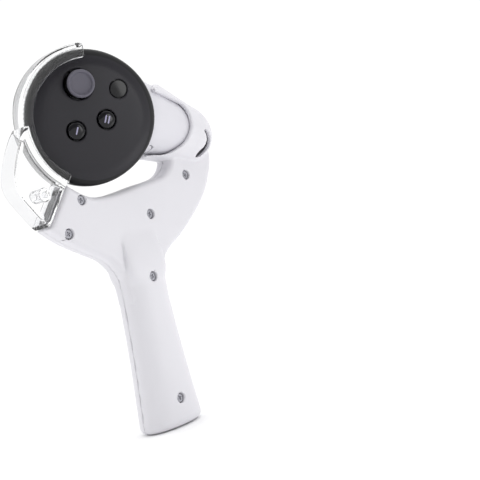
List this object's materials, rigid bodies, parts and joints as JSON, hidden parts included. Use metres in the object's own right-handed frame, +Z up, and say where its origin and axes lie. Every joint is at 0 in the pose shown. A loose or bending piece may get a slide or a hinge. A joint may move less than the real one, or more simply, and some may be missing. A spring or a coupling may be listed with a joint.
{
  "type": "vr motion controller in a racket handle adapter",
  "caption": "Handheld motion controller with thumbstick, push buttons, trigger and squeeze grip, seated in a forked racket-style handle with a clear curved guard.",
  "frame": {"origin": "centre of the flat butt face at the bottom of the handle", "axes": "+Z up the handle towards the controller, -Y the front with the screws and the control face, +X to the right seen from the front"},
  "size_m": [0.1297, 0.0516, 0.1881],
  "materials": {
    "white_shell": "fine satin moulded texture",
    "controller_white": "smooth satin",
    "clear_plastic": "polished clear polycarbonate",
    "face_black": "fine matte texture",
    "bowl_black": "satin",
    "button_black": "polished",
    "stick_rubber": "soft-touch",
    "dark_plastic": "satin",
    "screw_steel": "zinc plated",
    "spring_steel": "bright drawn wire",
    "motor_can": "plain",
    "cell_jacket": "plain shrink sleeve",
    "board_green": "solder mask",
    "flex_amber": "polyimide film",
    "dome_silicone": "moulded silicone"
  },
  "bodies": {
    "adapter_and_controller": {"front_shell": "white_shell", "rear_shell": "white_shell", "clear_guard": "clear_plastic", "shell_screw_1": "screw_steel", "shell_screw_2": "screw_steel", "shell_screw_3": "screw_steel", "shell_screw_4": "screw_steel", "shell_screw_5": "screw_steel", "shell_screw_6": "screw_steel", "face_plate": "face_black", "head_housing": "bowl_black", "grip_shell": "controller_white", "battery_cradle": "dark_plastic", "battery_cell": "cell_jacket", "battery_contact_spring": "spring_steel", "battery_contact_plate": "spring_steel", "stick_module_base": "dark_plastic", "button_dome_mat": "dome_silicone", "main_board": "board_green", "tracking_led_strip": "flex_amber", "haptic_motor": "motor_can", "board_screw_1": "screw_steel", "board_screw_2": "screw_steel", "board_screw_3": "screw_steel", "trigger_pin": "screw_steel", "trigger_spring": "spring_steel", "trigger_sensor_board": "board_green", "grip_button_pin": "screw_steel", "grip_button_spring": "spring_steel"},
    "stick_click": {"stick_carriage": "dark_plastic"},
    "stick_ring": {"stick_gimbal_ring": "motor_can"},
    "stick": {"stick_stem": "dark_plastic", "thumbstick_cap": "stick_rubber"},
    "upper_button": {"upper_button_cap": "button_black"},
    "lower_button": {"lower_button_cap": "button_black"},
    "menu": {"menu_button": "button_black"},
    "trigger_lever": {"trigger": "dark_plastic"},
    "grip_pad": {"grip_button": "controller_white"},
    "door": {"battery_door": "controller_white"}
  },
  "joints": [
    {"name": "stick_click_press", "type": "slide", "parent": "adapter_and_controller", "child": "stick_click", "axis": [0.3995, 0.9089, 0.1198], "range_m": [0, 0.0005], "stiffness_N_per_m": 4000, "springref_m": -0.0001},
    {"name": "stick_tilt_x", "type": "hinge", "parent": "stick_click", "child": "stick_ring", "pos_m": [-0.01835, -0.00517, 0.16902], "axis": [0.303, -0.2543, 0.9184], "range_deg": [-12, 12], "stiffness_Nm_per_rad": 0.05},
    {"name": "stick_tilt_y", "type": "hinge", "parent": "stick_ring", "child": "stick", "pos_m": [-0.01835, -0.00517, 0.16902], "axis": [-0.8652, 0.3306, 0.377], "range_deg": [-12, 12], "stiffness_Nm_per_rad": 0.05},
    {"name": "upper_button_press", "type": "slide", "parent": "adapter_and_controller", "child": "upper_button", "axis": [0.3995, 0.9089, 0.1198], "range_m": [0, 0.0012], "stiffness_N_per_m": 1500, "springref_m": -0.0002},
    {"name": "lower_button_press", "type": "slide", "parent": "adapter_and_controller", "child": "lower_button", "axis": [0.3995, 0.9089, 0.1198], "range_m": [0, 0.0012], "stiffness_N_per_m": 1500, "springref_m": -0.0002},
    {"name": "menu_button_press", "type": "slide", "parent": "adapter_and_controller", "child": "menu", "axis": [0.3995, 0.9089, 0.1198], "range_m": [0, 0.0005], "stiffness_N_per_m": 3000, "springref_m": -0.0001},
    {"name": "trigger_pull", "type": "hinge", "parent": "adapter_and_controller", "child": "trigger_lever", "pos_m": [-0.02585, 0.00882, 0.16062], "axis": [-0.303, 0.2543, -0.9184], "range_deg": [0, 15], "stiffness_Nm_per_rad": 0.15, "springref_deg": -5.73},
    {"name": "grip_button_squeeze", "type": "hinge", "parent": "adapter_and_controller", "child": "grip_pad", "pos_m": [0.02019, 0.0032, 0.1387], "axis": [0.0925, 0.967, 0.2372], "range_deg": [0, 6], "stiffness_Nm_per_rad": 0.3, "springref_deg": -4.58},
    {"name": "battery_door_slide", "type": "slide", "parent": "adapter_and_controller", "child": "door", "axis": [0.9317, 0, -0.3633], "range_m": [0, 0.001]}
  ]
}
